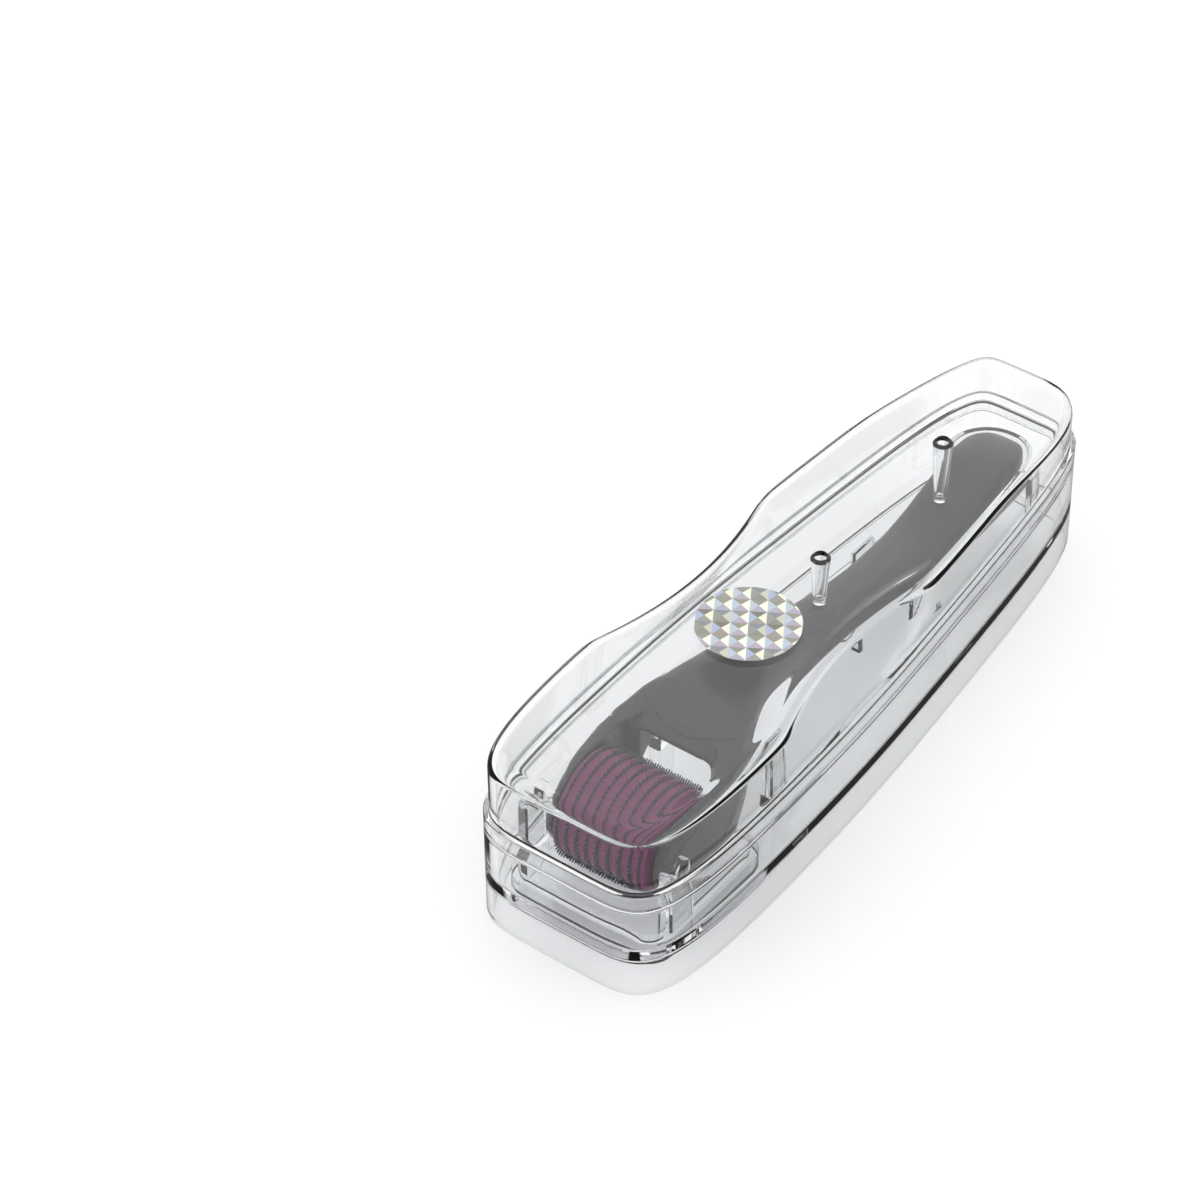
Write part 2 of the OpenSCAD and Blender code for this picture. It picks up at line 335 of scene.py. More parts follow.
def material(name, color, roughness=0.3, grain=(0.0, 0.0), grain_scale=800.0, tint=0.0,
             bump=0.0, bump_scale=2000.0, **sockets):
    """A principled material with noise in its colour, its roughness and its surface.
    grain is the lowest and highest roughness added by the noise."""
    mat = bpy.data.materials.new(name)
    mat.use_nodes = True
    nodes, links = mat.node_tree.nodes, mat.node_tree.links
    shader = nodes["Principled BSDF"]
    coords = nodes.new("ShaderNodeTexCoord")
    noise = nodes.new("ShaderNodeTexNoise")
    noise.inputs["Scale"].default_value = grain_scale
    noise.inputs["Detail"].default_value = 4.0
    links.new(coords.outputs["Object"], noise.inputs["Vector"])
    rough = nodes.new("ShaderNodeMapRange")
    rough.inputs["To Min"].default_value = roughness + grain[0]
    rough.inputs["To Max"].default_value = roughness + grain[1]
    links.new(noise.outputs["Fac"], rough.inputs["Value"])
    links.new(rough.outputs["Result"], shader.inputs["Roughness"])
    ramp = nodes.new("ShaderNodeMix")
    ramp.data_type = "RGBA"
    darker = [c * (1 - tint) for c in color]
    ramp.inputs["A"].default_value = (*darker, 1)
    ramp.inputs["B"].default_value = (*color, 1)
    links.new(noise.outputs["Fac"], ramp.inputs["Factor"])
    links.new(ramp.outputs["Result"], shader.inputs["Base Color"])
    if bump:
        fine = nodes.new("ShaderNodeTexNoise")
        fine.inputs["Scale"].default_value = bump_scale
        links.new(coords.outputs["Object"], fine.inputs["Vector"])
        node = nodes.new("ShaderNodeBump")
        node.inputs["Strength"].default_value = bump
        node.inputs["Distance"].default_value = 0.02 * MM
        links.new(fine.outputs["Fac"], node.inputs["Height"])
        links.new(node.outputs["Normal"], shader.inputs["Normal"])
    for socket, value in sockets.items():
        shader.inputs[socket.replace("_", " ")].default_value = value
    return mat


def clear_plastic():
    """Moulded clear plastic that lets most light through its shadow."""
    mat = material("clear_case", (0.985, 0.99, 0.995), roughness=0.0, grain=(0.0, 0.012), tint=0.01,
                   Transmission_Weight=1.0, IOR=1.5)
    nodes, links = mat.node_tree.nodes, mat.node_tree.links
    out = nodes["Material Output"]
    path = nodes.new("ShaderNodeLightPath")
    see_through = nodes.new("ShaderNodeBsdfTransparent")
    see_through.inputs["Color"].default_value = (0.95, 0.955, 0.96, 1)
    mix = nodes.new("ShaderNodeMixShader")
    links.new(path.outputs["Is Shadow Ray"], mix.inputs["Fac"])
    links.new(nodes["Principled BSDF"].outputs["BSDF"], mix.inputs[1])
    links.new(see_through.outputs["BSDF"], mix.inputs[2])
    links.new(mix.outputs["Shader"], out.inputs["Surface"])
    depth = nodes.new("ShaderNodeVolumeAbsorption")
    depth.inputs["Color"].default_value = (0.3, 0.32, 0.34, 1)
    depth.inputs["Density"].default_value = 10.0
    links.new(depth.outputs["Volume"], out.inputs["Volume"])
    return mat


def facet_material():
    """Silver foil whose facets each carry a pale tint: painted highlight and painted shade by the way each
    faces.
    """
    mat = material("hologram_label", (0.8, 0.8, 0.78), roughness=0.3, grain=(0.0, 0.1), Metallic=0.6)
    nodes, links = mat.node_tree.nodes, mat.node_tree.links
    tint = nodes.new("ShaderNodeAttribute")
    tint.attribute_name = "tint"
    links.new(tint.outputs["Color"], nodes["Principled BSDF"].inputs["Base Color"])
    return mat


CLEAR = clear_plastic()
FACETS = facet_material()
BLACK = material("black_handle", (0.02, 0.02, 0.021), roughness=0.22, grain=(0.0, 0.08), tint=0.3,
                 bump=0.15, Specular_IOR_Level=0.4)
COVER = material("black_cover", (0.022, 0.022, 0.024), roughness=0.3, grain=(0.0, 0.1), tint=0.3,
                 bump=0.3, Specular_IOR_Level=0.4)
PURPLE = material("purple_ring", (0.13, 0.006, 0.075), roughness=0.3, grain=(0.0, 0.1), tint=0.25,
                  bump=0.1, Specular_IOR_Level=0.3)
HUB = material("purple_hub", (0.12, 0.02, 0.09), roughness=0.35, grain=(0.0, 0.1), tint=0.25)
STEEL = material("needle_steel", (0.035, 0.033, 0.037), roughness=0.35, grain=(0.0, 0.15),
                 grain_scale=3000.0, tint=0.35, Metallic=0.6)
AXLE = material("axle_steel", (0.6, 0.6, 0.6), roughness=0.25, grain=(0.0, 0.1), tint=0.2, Metallic=1.0)
BUSH = material("white_bush", (0.7, 0.7, 0.68), roughness=0.35, grain=(0.0, 0.1), tint=0.1)


# ---------------------------------------------------------------- the clear case

def ramp(u):
    """A bend that starts flat and ends as a straight slope."""
    return (u + TAPER_SHIFT + np.sqrt((u + TAPER_SHIFT) ** 2 + TAPER_SOFTNESS)) / 2


def case_outline():
    """Evenly spaced points on the case's outline: a squircle that narrows towards the tail."""
    a = np.linspace(-math.pi / 2, 3 * math.pi / 2, 40001)[:-1]
    power = 2 / OUTLINE_POWER
    u = np.sign(np.sin(a)) * np.abs(np.sin(a)) ** power
    v = np.sign(np.cos(a)) * np.abs(np.cos(a)) ** power
    x = CASE_W / 2 * (1 - TAIL_TAPER * ramp(u)) * v / (1 - TAIL_TAPER * ramp(WIDEST_AT))
    p = np.stack([x, CASE_LEN / 2 * u], 1)
    steps = np.linalg.norm(np.roll(p, -1, 0) - p, axis=1)
    length = np.concatenate([[0], np.cumsum(steps)])
    closed = np.vstack([p, p[:1]])
    at = np.arange(CONTOUR_POINTS) * length[-1] / CONTOUR_POINTS
    return np.stack([np.interp(at, length, closed[:, i]) for i in (0, 1)], 1)


def inset(points, distance):
    """Moves each point of a contour inwards by a distance, or by one distance each."""
    tangent = np.roll(points, -1, 0) - np.roll(points, 1, 0)
    tangent /= np.linalg.norm(tangent, axis=1)[:, None]
    inward = np.stack([-tangent[:, 1], tangent[:, 0]], 1)
    return points + inward * np.reshape(distance, (-1, 1))


OUTLINE = case_outline()
# The way each outline point moves inwards over a rounded edge, which never folds at the corners.
HALF_WIDTH = (CASE_W / 2 * (1 - TAIL_TAPER * ramp(2 * OUTLINE[:, 1] / CASE_LEN))
              / (1 - TAIL_TAPER * ramp(WIDEST_AT)))
OUTWARD = np.stack([OUTLINE[:, 0] / HALF_WIDTH, 2 * OUTLINE[:, 1] / CASE_LEN], 1)
SCOOP_TILT = math.atan(SCOOP_DEPTH / (CASE_H - FLANGE_Z))
HALF_AT_SCOOP = CASE_W / 2 * (1 - TAIL_TAPER * ramp(2 * SCOOP_Y / CASE_LEN))
SCOOP_FOOT = HALF_AT_SCOOP - LID_STEP + SCOOP_R / math.cos(SCOOP_TILT)


def lid_contour(z, depth):
    """The lid's contour at heights z, drawn in by depth and waisted by the finger scoops."""
    p = inset(OUTLINE, depth)
    z = np.broadcast_to(z, len(p))
    reach = np.sqrt(np.maximum(1 - ((p[:, 1] - SCOOP_Y) / SCOOP_R) ** 2, 0))
    limit = (SCOOP_FOOT - (z - FLANGE_Z) * math.tan(SCOOP_TILT)
             - SCOOP_R / math.cos(SCOOP_TILT) * reach - (np.asarray(depth) - LID_STEP))
    x = np.abs(p[:, 0])
    x = (x + limit - np.sqrt((x - limit) ** 2 + SCOOP_BLEND ** 2)) / 2
    x = np.maximum(x, 0)
    x = np.where(np.abs(p[:, 0]) < x, np.abs(p[:, 0]), x)
    return np.column_stack([np.sign(p[:, 0]) * x, p[:, 1], z])


def flat_ring(depth, z):
    """The case's outline drawn in by depth, at height z."""
    p = inset(OUTLINE, depth)
    return np.column_stack([p, np.full(len(p), z)])


def fillet_radius():
    """The radius of the lid's top edge, larger round the tail."""
    s = np.clip((OUTLINE[:, 1] - FILLET_START) / FILLET_SPAN, 0, 1)
    return TOP_FILLET + (TAIL_FILLET - TOP_FILLET) * s * s * (3 - 2 * s)


def lid_dome(offset):
    """Rings up the wall and over the rounded top edge, on a surface offset inside the lid."""
    radius = fillet_radius() - offset
    top = CASE_H - offset
    foot = FLANGE_Z + 0.35 if offset == 0 else FLANGE_Z
    rings = []
    for share in (0.0, 0.08, 0.35, 0.65, 1.0):
        z = foot + share * (top - radius - foot)
        rings.append(lid_contour(z, LID_STEP + offset))
    for k in range(1, FILLET_STEPS + 1):
        turn = math.pi / 2 * k / FILLET_STEPS
        z = top - radius * (1 - math.sin(turn))
        ring = lid_contour(z, LID_STEP + offset)
        shift = ring[:, :2] - OUTWARD * (radius * (1 - math.cos(turn)))[:, None]
        rings.append(np.column_stack([shift, z]))
    last = rings[-1]
    rings.append(np.column_stack([last[:, :2] - OUTWARD * 0.5, last[:, 2]]))
    return rings


def peg_profile(low, grow, top, bottom):
    """Points of a peg's side from its end up to the lid, for a lathe about Z."""
    end_r = PEG_END_R + grow
    return [(bottom, HAIR), (bottom, end_r - PEG_ROUND), (bottom + 0.12, end_r - 0.1),
            (bottom + PEG_ROUND, end_r), (low + PEG_KNEE_Z, end_r + PEG_KNEE_GROWTH),
            (top, PEG_TOP_R + grow), (top, HAIR)]


def build_lid():
    """The lid: outer and inner skins joined round the rim, with its two pegs."""
    # How far each ring is drawn in, and its height. Small steps round the edges.
    rim = [(0.25, SEAM_Z + SEAM_GAP), (0.07, SEAM_Z + 0.09), (0.0, SEAM_Z + 0.27),
           (0.0, FLANGE_Z - 0.35), (0.1, FLANGE_Z - 0.1), (0.35, FLANGE_Z),
           (LID_STEP - 0.3, FLANGE_Z), (LID_STEP - 0.08, FLANGE_Z + 0.09)]
    rebate = LIP_INSET - LIP_CLEAR
    inner_rim = [(rebate - 0.2, SEAM_Z + SEAM_GAP), (rebate, SEAM_Z + 0.2),
                 (rebate, LIP_TOP + 0.2), (INNER_INSET, LIP_TOP + 0.35)]
    outer = [flat_ring(*step) for step in rim] + lid_dome(0.0)
    inner = [flat_ring(*step) for step in inner_rim] + lid_dome(WALL)
    outer += shrunk(outer[-1])
    lid = stacked("clear_lid", list(reversed(outer)) + inner + shrunk(inner[-1]))
    for y, low in PEG_PLACES:
        peg = lathe("peg", peg_profile(low, 0.0, CASE_H - WALL / 2, low), False, (0, y, 0), 40)
        boolean(lid, peg, "UNION")
        hole_profile = peg_profile(low + WALL, -PEG_HOLE_INSET, CASE_H + 1, low + WALL)
        boolean(lid, lathe("hole", hole_profile, False, (0, y, 0), 40), "DIFFERENCE")
    return lid


def rounded_plan(half_x, y0, y1, r, steps=8):
    """A rounded rectangle, half_x to each side and from y0 to y1."""
    points = []
    for q, (sx, cy) in enumerate([(1, y1 - r), (-1, y1 - r), (-1, y0 + r), (1, y0 + r)]):
        for k in range(steps + 1):
            a = math.pi / 2 * (q + k / steps)
            points.append((sx * (half_x - r) + r * math.cos(a), cy + r * math.sin(a)))
    return points


def slab(x0, x1, y0, y1, z0, z1, lean=0.0):
    """A block whose top is drawn in by lean on every side."""
    verts = [(x0, y0, z0), (x1, y0, z0), (x1, y1, z0), (x0, y1, z0)]
    verts += [(x0 + lean, y0 + lean, z1), (x1 - lean, y0 + lean, z1),
              (x1 - lean, y1 - lean, z1), (x0 + lean, y1 - lean, z1)]
    faces = [(0, 1, 2, 3), (4, 5, 6, 7), (0, 1, 5, 4), (1, 2, 6, 5), (2, 3, 7, 6), (3, 0, 4, 7)]
    return outward(new_object("slab", verts, faces))


def cradles():
    """The clips and rests that stand on the tray floor."""
    parts = []
    for side in (-1, 1):
        for cradle in (FRONT_POST, NECK_STOP, WAIST_STOP):
            x_range, y_range, z_range, lean, edge = cradle
            block = slab(*sorted(side * x for x in x_range), *y_range, *z_range, lean)
            if cradle is FRONT_POST:
                boolean(block, prism("notch", POST_NOTCH, -20, 20, "x"), "DIFFERENCE")
            parts.append(bevelled(block, edge, 1))
    for y in REST_Y:
        top = station(y + WALL / 2)[2] - REST_GAP
        parts.append(bevelled(slab(-REST_HALF, REST_HALF, y, y + WALL, TRAY_LOW, top, 0.1), 0.25, 1))
    centre = TAIL_Y - TAIL_END_R
    inner, outer = TAIL_END_R + TAIL_STOP_INNER, TAIL_END_R + TAIL_STOP_OUTER
    sweep = [math.radians(-4 + 188 * k / 36) for k in range(37)]
    plan = [(outer * math.cos(a), centre + outer * math.sin(a)) for a in sweep]
    plan += [(inner * math.cos(a), centre + inner * math.sin(a)) for a in reversed(sweep)]
    parts.append(bevelled(prism("tail_stop", plan, TRAY_LOW, TAIL_STOP_TOP), 0.3, 2, 50))
    return parts


def build_base():
    """The base: a skirt round a raised tray floor, with the drum's well and the cradles."""
    under = FLOOR_Z - WALL
    # How far each ring is drawn in, and its height. Small steps round the edges.
    skirt = [(WALL + 0.9, under), (WALL + 0.5, under), (WALL + 0.15, under - 0.15), (WALL, under - 0.5),
             (WALL, 0.3), (WALL - 0.25, 0.0), (0.7, 0.0), (0.35, 0.09), (0.09, 0.35), (0.0, 0.7),
             (0.0, SEAM_Z - 0.32), (0.08, SEAM_Z - 0.1), (0.3, SEAM_Z - SEAM_GAP),
             (LIP_INSET - 0.15, SEAM_Z - SEAM_GAP), (LIP_INSET, SEAM_Z + 0.15),
             (LIP_INSET, LIP_TOP - 0.3), (LIP_INSET + 0.1, LIP_TOP - 0.08),
             (LIP_INSET + 0.35, LIP_TOP), (TRAY_INSET - 0.3, LIP_TOP),
             (TRAY_INSET, LIP_TOP - 0.3), (TRAY_INSET, FLOOR_Z + 1.0)]
    for k in range(1, 5):
        turn = math.pi / 2 * k / 4
        skirt.append((TRAY_INSET + 1 - math.cos(turn), FLOOR_Z + 1 - math.sin(turn)))
    skirt.append((TRAY_INSET + 1.5, FLOOR_Z))
    rings = [flat_ring(*step) for step in skirt]
    base = stacked("clear_base", list(reversed(shrunk(rings[0]))) + rings + shrunk(rings[-1]))
    outer_plan = rounded_plan(WELL_HALF_X + WALL, WELL_Y[0] - WALL, WELL_Y[1] + WALL, WELL_R + WALL)
    outer_well = prism("outer_well", outer_plan, WELL_Z - WALL, TRAY_LOW)
    boolean(base, bevelled(outer_well, WELL_EDGE, 2, 50), "UNION")
    inner_plan = rounded_plan(WELL_HALF_X, WELL_Y[0], WELL_Y[1], WELL_R)
    inner_well = prism("inner_well", inner_plan, WELL_Z, FLOOR_Z + 2)
    boolean(base, bevelled(inner_well, WELL_EDGE, 2, 50), "DIFFERENCE")
    for part in cradles():
        boolean(base, part, "UNION")
    return base


# ---------------------------------------------------------------- the handle

def station(y):
    """Half width, top, underside and crease of the handle at y, on a smooth curve through the stations."""
    ys = [s[0] for s in STATIONS]
    i = 0
    while i < len(ys) - 2 and y > ys[i + 1]:
        i += 1
    t = (y - ys[i]) / (ys[i + 1] - ys[i])
    a, b, c, d = (np.array(STATIONS[max(0, min(len(ys) - 1, i + k))][1:]) for k in (-1, 0, 1, 2))
    half, top, under, crease = (b + t * (c - a) / 2 + t * t * (2 * a - 5 * b + 4 * c - d) / 2
                                + t * t * t * (3 * b - a - 3 * c + d) / 2)
    return half, top, under, crease


def parting(y):
    """Height of the line between the handle's halves."""
    _, top, under, _ = station(y)
    return under + PARTING_SHARE * (top - under)


def handle_section(y, count=72):
    """A cross-section of the handle: crowned top, sides that lean out to mid height, round belly."""
    half, top, under, crease = station(y)
    tail_start = TAIL_Y - TAIL_END_R
    if y > tail_start:
        s = min(1.0, (y - tail_start) / TAIL_END_R)
        shrink = math.sqrt(max(0.0, 1 - s * s))
        half, crease = half * shrink, crease * shrink
        mid = (top + under) / 2
        plump = (1 - s ** 4) ** 0.5
        top, under = mid + (top - mid) * plump, mid + (under - mid) * plump
    if y < DRUM_Y:
        arc = math.sqrt(max(0.0, ARM_END_R ** 2 - (y - DRUM_Y) ** 2))
        top, under = min(top, DRUM_Z + arc), max(under, DRUM_Z - arc)
    mid = under + PARTING_SHARE * (top - under)
    rise, drop = max(top - mid, HAIR), max(mid - under, HAIR)
    boxy = min(1.0, max(0.0, (BOXY_END - y) / BOXY_SPAN))
    upper_power, lower_power = TOP_POWER + BOXY_POWER * boxy, BELLY_POWER + BOXY_POWER * boxy
    crease = min(crease, half * 0.96)
    ring = []
    for k in range(count):
        a = 2 * math.pi * k / count - math.pi / 2
        c, s = math.cos(a), math.sin(a)
        if s >= 0:
            r = (abs(c / half) ** upper_power + abs(s / rise) ** upper_power) ** (-1 / upper_power)
            slant = abs(c) / half + s * (1 - crease / half) / rise * 0.999
            if slant > 0:
                r = min(r, 1.0 / slant)
        else:
            r = (abs(c / half) ** lower_power + abs(s / drop) ** lower_power) ** (-1 / lower_power)
        ring.append((r * c, y, mid + r * s))
    return ring


def cover_plan(gap):
    """The tear-shaped outline of an arm cover, in the plane of the arm, grown outwards by gap."""
    lean, far, r0, r1 = math.radians(38), 11.0, 5.0 + gap, 3.2 + gap
    spread = math.acos((r0 - r1) / far)
    points = []
    for k in range(41):
        a = lean + spread + (2 * math.pi - 2 * spread) * k / 40
        points.append((DRUM_Y + r0 * math.cos(a), DRUM_Z + r0 * math.sin(a)))
    cy, cz = DRUM_Y + far * math.cos(lean), DRUM_Z + far * math.sin(lean)
    for k in range(25):
        a = lean - spread + 2 * spread * k / 24
        points.append((cy + r1 * math.cos(a), cz + r1 * math.sin(a)))
    return points


def remeshed(obj, voxel, rounds):
    """An even mesh of the same shape with its edges rounded over."""
    mod = obj.modifiers.new("remesh", "REMESH")
    mod.mode = "VOXEL"
    mod.voxel_size = voxel * MM
    applied(obj)
    mod = obj.modifiers.new("smooth", "SMOOTH")
    mod.factor = 0.5
    mod.iterations = rounds
    return applied(obj)


def handle_body():
    """The whole handle with its fork, before it is split at the parting line."""
    front = DRUM_Y - ARM_END_R + HAIR
    ys = list(DRUM_Y - (DRUM_Y - front) * np.cos(np.linspace(0, math.pi / 2, 14)))[:-1]
    ys += list(np.arange(DRUM_Y, TAIL_Y - TAIL_END_R, 0.8))
    ys += list(TAIL_Y - TAIL_END_R + (TAIL_END_R - HAIR) * np.sin(np.linspace(0, math.pi / 2, 16)))
    body = stacked("handle", [handle_section(float(y)) for y in ys])
    slot_cut = prism("slot", rounded_plan(FORK_HALF_GAP, -FAR, WINDOW_Y, 4.0, 12), 0, 60)
    boolean(body, slot_cut, "DIFFERENCE")
    hollow_half = FORK_HALF_GAP - HOLLOW_INSET
    hollow_side = [(-FAR, 0), (-20, 0), (-29, 25.4), (WINDOW_Y, 23.2), (-FAR, 23.2)]
    boolean(body, prism("hollow", hollow_side, -hollow_half, hollow_half, "x"), "DIFFERENCE")
    # The window's rear edge leans back from its lower rim to the head's top.
    lean_half = FORK_HALF_GAP - LEAN_INSET
    lean_side = [(WINDOW_Y - 3, LEAN_FOOT_Z), (WINDOW_Y - 0.2, LEAN_FOOT_Z),
                 (WINDOW_Y + LEAN_RUN, LEAN_TOP_Z), (WINDOW_Y - 3, LEAN_TOP_Z)]
    lean = prism("lean", lean_side, -lean_half, lean_half, "x")
    lean_plan = prism("lean_plan", rounded_plan(lean_half, -60, WINDOW_Y + LEAN_RUN, 4.5, 12), 0, 60)
    boolean(lean, lean_plan, "INTERSECT")
    boolean(body, lean, "DIFFERENCE")
    return remeshed(body, VOXEL, SMOOTH_ROUNDS)


def seam_height(x, y):
    """Height of the parting surface. It climbs over the head's front along an arc."""
    arc = SEAM_APEX_Y + 2.0 * (np.minimum(np.abs(x), 11) / 8) ** 2
    s = np.clip((arc - y) / 3.0 + 0.5, 0, 1)
    return s * s * (3 - 2 * s) * SEAM_CLIMB


def split_at_seam(body, keep_upper, name):
    """One half of the handle, closed at the parting surface, with a fine groove round its rim."""
    obj = bpy.data.objects.new(name, body.data.copy())
    bpy.context.scene.collection.objects.link(obj)
    bm = bmesh.new()
    bm.from_mesh(obj.data)
    table_y = np.arange(-62, 70, 0.5)
    table_z = np.array([parting(y) for y in table_y])

    def shift(sign):
        """Moves the mesh down by the parting surface's height, or back up."""
        co = np.array([v.co for v in bm.verts]) / MM
        lift = np.interp(co[:, 1], table_y, table_z) + seam_height(co[:, 0], co[:, 1])
        co[:, 2] += sign * lift
        for v, p in zip(bm.verts, co):
            v.co = Vector(p * MM)
    shift(-1)
    direction = 1 if keep_upper else -1
    gap = PARTING_GAP * direction * MM
    for level in (GROOVE_HEIGHT * direction * MM, gap):
        bmesh.ops.bisect_plane(bm, geom=bm.verts[:] + bm.edges[:] + bm.faces[:], dist=1e-7,
                               plane_co=(0, 0, level), plane_no=(0, 0, direction),
                               clear_inner=level == gap)
    bm.normal_update()
    rim = [v for v in bm.verts if abs(v.co.z - gap) < 1e-7]
    moves = [(v, v.normal.copy()) for v in rim]
    for v, n in moves:
        n.z = 0
        if n.length > 1e-6:
            v.co -= n.normalized() * GROOVE_DEPTH * MM
    shift(1)
    bmesh.ops.holes_fill(bm, edges=[e for e in bm.edges if e.is_boundary], sides=0)
    bmesh.ops.recalc_face_normals(bm, faces=bm.faces)
    bm.to_mesh(obj.data)
    bm.free()
    return smooth(obj, 50)


def build_handle():
    """Both halves of the handle and the two arm covers."""
    body = handle_body()
    for side in (-1, 1):
        x0, x1 = sorted((side * COVER_X, side * 20))
        cover = prism("cover", cover_plan(-COVER_PLAY), x0 + 0.05, x1, "x")
        boolean(cover, body, "INTERSECT", keep=True)
        name = "right" if side > 0 else "left"
        cover.name = f"{name}_cover_shell"
        finish_piece(smooth(bevelled(cover, 0.12, 1, 60), 50), "roller", [f"{name}_arm_cover"],
                     COVER)
        pocket = prism("pocket", cover_plan(POCKET_PLAY), x0, x1, "x")
        boolean(body, pocket, "DIFFERENCE")
        low, high = sorted(side * x for x in BORE_X)
        bore_profile = [(low, HAIR), (low, BUSH_BORE_R), (high, BUSH_BORE_R), (high, HAIR)]
        boolean(body, lathe("bore", bore_profile, True, (0, DRUM_Y, DRUM_Z), 48), "DIFFERENCE")
    lower = split_at_seam(body, False, "lower_shell")
    upper = split_at_seam(body, True, "upper_shell")
    finish_piece(lower, "roller", ["handle_lower_shell"], BLACK)
    finish_piece(upper, "roller", ["handle_upper_shell"], BLACK)
    bpy.data.objects.remove(body)


# ---------------------------------------------------------------- the drum

def ring_profile(x0, x1, outer, inner, edge):
    """A ring's section with rounded outer edges."""
    turns = (math.pi / 6, math.pi / 3, math.pi / 2)
    left = [(x0 + edge * (1 - math.cos(t)), outer - edge * (1 - math.sin(t))) for t in turns]
    right = [(x1 - edge * (1 - math.cos(t)), outer - edge * (1 - math.sin(t))) for t in reversed(turns)]
    return [(x0, inner), (x0, outer - edge)] + left + right + [(x1, outer - edge), (x1, inner)]


def build_drum():
    """The rings and the needle discs between them."""
    axis = (0.0, DRUM_Y, DRUM_Z)
    bore = HUB_R + HAIR
    for node in SPACERS + ["left_end_ring", "right_end_ring"]:
        lo, hi = box_mm(node)
        profile = ring_profile(lo[0] + RING_GAP, hi[0] - RING_GAP, RING_R, bore, RING_EDGE)
        ring = lathe(f"{node}_body", profile, True, axis, 120)
        finish_piece(smooth(ring, 50), "drum", [node], PURPLE)
    for number, node in enumerate(DISCS):
        lo, hi = box_mm(node)
        middle = (lo[0] + hi[0]) / 2
        obj = needle_plate(f"{node}_plate", middle, hi[0] - lo[0], number)
        finish_piece(smooth(obj, 40), "drum", [node], STEEL)


def needle_plate(name, x, thick, number):
    """A flat steel ring with round needles round its rim."""
    bore, rim = HUB_R + HAIR, RING_R - 0.25
    plate = lathe(name, [(x - thick / 2, bore), (x - thick / 2, rim),
                         (x + thick / 2, rim), (x + thick / 2, bore)], True, (0, DRUM_Y, DRUM_Z), 120)
    bm = bmesh.new()
    bm.from_mesh(plate.data)
    profile = [(RING_R + rise, radius) for rise, radius in NEEDLE_STEPS]
    profile.append((TIP_R - 0.02, NEEDLE_TIP_R))
    centre = Vector((x, DRUM_Y, DRUM_Z))
    for k in range(NEEDLES):
        a = 2 * math.pi * (k + 0.5 * (number % 2)) / NEEDLES
        out = Vector((0, math.cos(a), math.sin(a)))
        across = Vector((0, -math.sin(a), math.cos(a)))
        loops = []
        for r, radius in profile:
            loop = []
            for side in range(NEEDLE_SIDES):
                turn = 2 * math.pi * side / NEEDLE_SIDES
                point = (centre + out * r + Vector((1, 0, 0)) * radius * math.cos(turn)
                         + across * radius * math.sin(turn))
                loop.append(bm.verts.new(point * MM))
            loops.append(loop)
        for a_loop, b_loop in zip(loops, loops[1:]):
            for s in range(NEEDLE_SIDES):
                t = (s + 1) % NEEDLE_SIDES
                bm.faces.new((a_loop[s], a_loop[t], b_loop[t], b_loop[s]))
        bm.faces.new(loops[0])
        bm.faces.new(loops[-1])
    bmesh.ops.recalc_face_normals(bm, faces=bm.faces)
    bm.to_mesh(plate.data)
    bm.free()
    return plate


# ---------------------------------------------------------------- the label

def facet_grid(cy, face_z, top, reach, axis_u, axis_v):
    """A sheet of four-sided pyramids about the label's middle."""
    grid = bmesh.new()
    for i in range(-reach, reach):
        for j in range(-reach, reach):
            corner = [axis_u * (i + du) * LABEL_CELL + axis_v * (j + dv) * LABEL_CELL
                      for du, dv in ((0, 0), (1, 0), (1, 1), (0, 1))]
            peak = sum(corner, Vector()) / 4
            verts = [grid.verts.new(Vector((c.x, c.y + cy, face_z)) * MM) for c in corner]
            apex = grid.verts.new(Vector((peak.x, peak.y + cy, top)) * MM)
            for s in range(4):
                grid.faces.new((verts[s], verts[(s + 1) % 4], apex))
    bmesh.ops.remove_doubles(grid, verts=grid.verts, dist=1e-6)
    mesh = bpy.data.meshes.new("foil_label")
    grid.to_mesh(mesh)
    grid.free()
    return mesh


def build_label():
    """A foil disc embossed with small four-sided pyramids."""
    radius = (label_hi[0] - label_lo[0]) / 2
    cy = (label_hi[1] + label_lo[1]) / 2
    low, top = label_lo[2] + 0.01, label_hi[2]
    axis_u = Vector((math.cos(LABEL_TURN), math.sin(LABEL_TURN), 0))
    axis_v = Vector((-math.sin(LABEL_TURN), math.cos(LABEL_TURN), 0))
    reach = int(radius / LABEL_CELL) + 2
    mesh = facet_grid(cy, top - LABEL_RELIEF, top, reach, axis_u, axis_v)
    label = bpy.data.objects.new("foil_label", mesh)
    bpy.context.scene.collection.objects.link(label)
    solid = label.modifiers.new("solid", "SOLIDIFY")
    solid.thickness = 0.5 * MM
    solid.offset = -1
    outward(applied(label))
    disc_plan = [(radius * math.cos(t), cy + radius * math.sin(t))
                 for t in np.linspace(0, 2 * math.pi, 129)[:-1]]
    boolean(label, prism("round", disc_plan, low, top + 1), "INTERSECT")
    # Each facet's tint is painted highlight or painted shade by the way it faces, with its tone varied
    # from cell to cell.
    layer = label.data.attributes.new("tint", "FLOAT_COLOR", "FACE")
    for poly, item in zip(label.data.polygons, layer.data):
        poly.use_smooth = False
        c = poly.center / MM - Vector((0, cy, 0))
        i, j = math.floor(c.dot(axis_u) / LABEL_CELL), math.floor(c.dot(axis_v) / LABEL_CELL)
        flat = poly.normal.z >= 0.999
        facing = 0 if flat else int(math.atan2(poly.normal.y, poly.normal.x) // (math.pi / 2))
        painted_light_and_tone = LABEL_PAINTED_LIGHT_AND_TONE_TINTS[facing % len(LABEL_PAINTED_LIGHT_AND_TONE_TINTS)]
        item.color = (*painted_light_and_tone[(i * 2 + j + i * j) % len(painted_light_and_tone)], 1)
    finish_piece(label, "lid", ["lid_label"], FACETS)


# ---------------------------------------------------------------- assembly

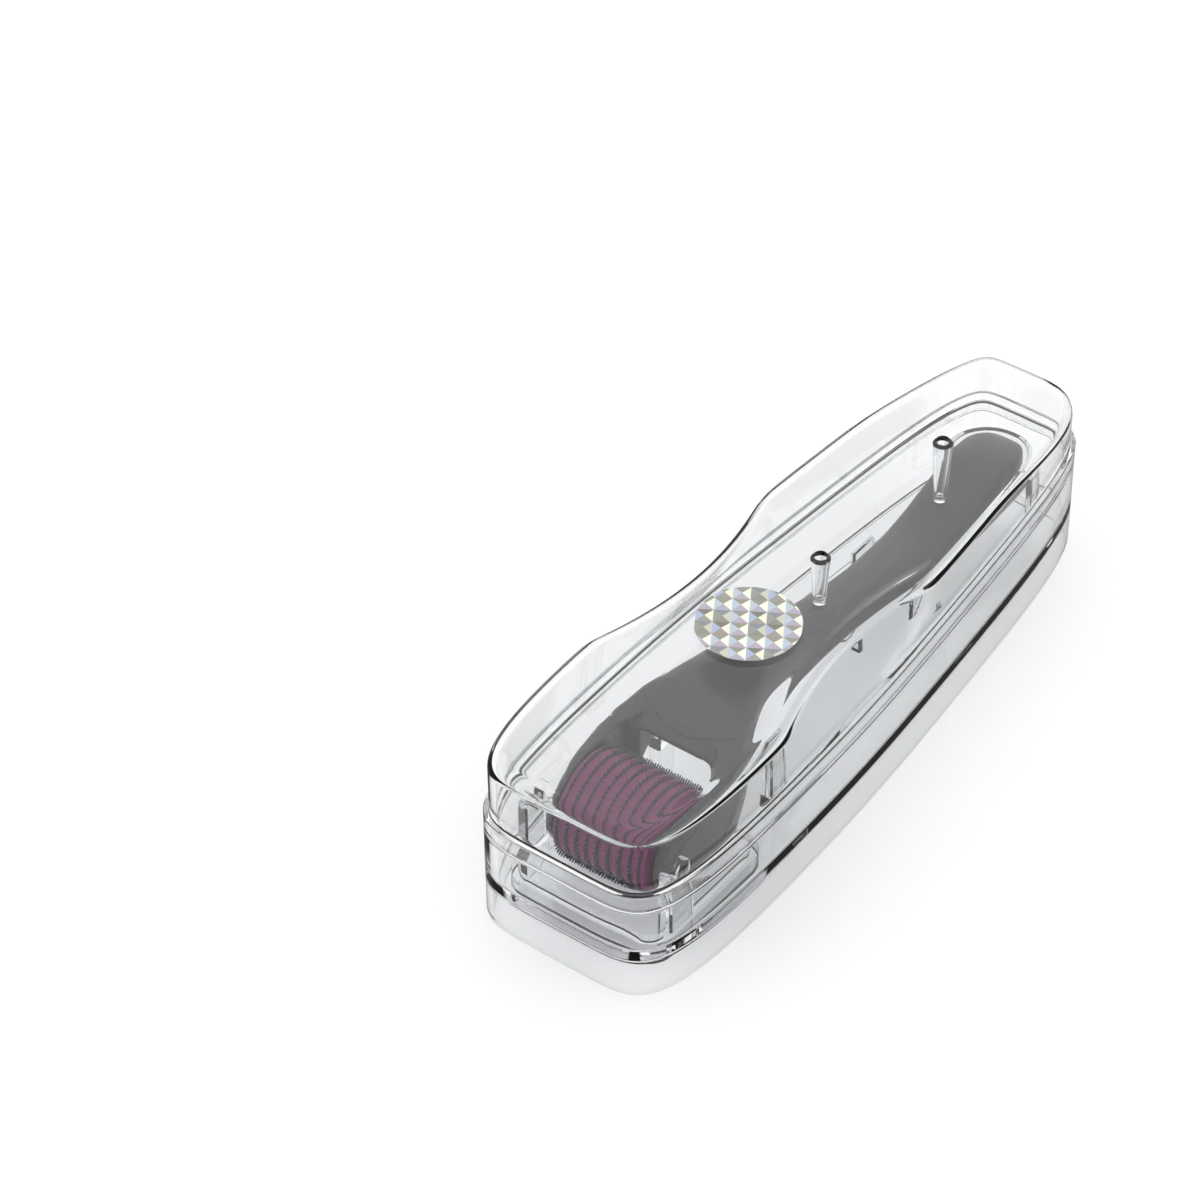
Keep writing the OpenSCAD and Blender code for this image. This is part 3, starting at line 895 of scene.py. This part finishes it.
finish_piece(weighted(build_lid()), "lid", ["case_lid"], CLEAR)
finish_piece(weighted(build_base()), "case", ["case_base"], CLEAR)
build_handle()
build_drum()
build_label()
# CAD solids that stay as they are, with a material each
for carried, finish, slot in (("axle", AXLE, "axle_steel"), ("left_axle_bush", BUSH, "white_bush"),
                              ("right_axle_bush", BUSH, "white_bush"), ("drum_hub", HUB, "purple_hub")):
    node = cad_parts[carried]
    node.data.materials.clear()
    node.data.materials.append(finish)

# ---------------------------------------------------------------- stage

floor_mesh = bpy.data.meshes.new("floor")
floor_bm = bmesh.new()
bmesh.ops.create_circle(floor_bm, cap_ends=True, segments=96, radius=6.0)
floor_bm.to_mesh(floor_mesh)
floor_bm.free()
floor = bpy.data.objects.new("floor", floor_mesh)
bpy.context.scene.collection.objects.link(floor)
floor.data.materials.append(material("pale_floor", (0.93, 0.93, 0.93), roughness=0.9, tint=0.01))
floor.visible_glossy = False


def studio_world(dome, below, backdrop):
    """A plain light dome, dim below the floor, before a plain backdrop."""
    world = bpy.data.worlds.new("studio")
    bpy.context.scene.world = world
    world.use_nodes = True
    nodes, links = world.node_tree.nodes, world.node_tree.links
    coords = nodes.new("ShaderNodeTexCoord")
    split = nodes.new("ShaderNodeSeparateXYZ")
    links.new(coords.outputs["Generated"], split.inputs[0])
    horizon = nodes.new("ShaderNodeMapRange")
    horizon.interpolation_type = "SMOOTHSTEP"
    for name, value in (("From Min", -0.05), ("From Max", 0.02), ("To Min", below), ("To Max", dome)):
        horizon.inputs[name].default_value = value
    links.new(split.outputs["Z"], horizon.inputs["Value"])
    path = nodes.new("ShaderNodeLightPath")
    mix = nodes.new("ShaderNodeMix")
    mix.data_type = "FLOAT"
    links.new(path.outputs["Is Camera Ray"], mix.inputs["Factor"])
    links.new(horizon.outputs["Result"], mix.inputs["A"])
    mix.inputs["B"].default_value = backdrop
    links.new(mix.outputs["Result"], nodes["Background"].inputs["Strength"])
    nodes["Background"].inputs["Color"].default_value = (1, 1, 1, 1)


studio_world(dome=1.17, below=0.16, backdrop=0.95)

# The camera stands in front of the case on its right, and looks down at it.
CAM_AZIMUTH = math.radians(37.30)
CAM_ELEVATION = math.radians(42.08)
CAM_ROLL = math.radians(-0.77)
CAM_PLACE = Vector((309.57, -466.58, 534.54)) * MM
back = Vector((math.sin(CAM_AZIMUTH) * math.cos(CAM_ELEVATION),
               -math.cos(CAM_AZIMUTH) * math.cos(CAM_ELEVATION), math.sin(CAM_ELEVATION)))
camera = bpy.data.objects.new("camera", bpy.data.cameras.new("camera"))
camera.data.lens = 128.06
camera.data.sensor_width = 36
camera.data.clip_start, camera.data.clip_end = 0.01, 50
camera.rotation_mode = "QUATERNION"
camera.location = CAM_PLACE
camera.rotation_quaternion = ((-back).to_track_quat("-Z", "Y").to_matrix()
                              @ Matrix.Rotation(CAM_ROLL, 3, "Z")).to_quaternion()
bpy.context.scene.collection.objects.link(camera)
bpy.context.scene.camera = camera
bpy.context.scene.view_settings.view_transform = "Standard"
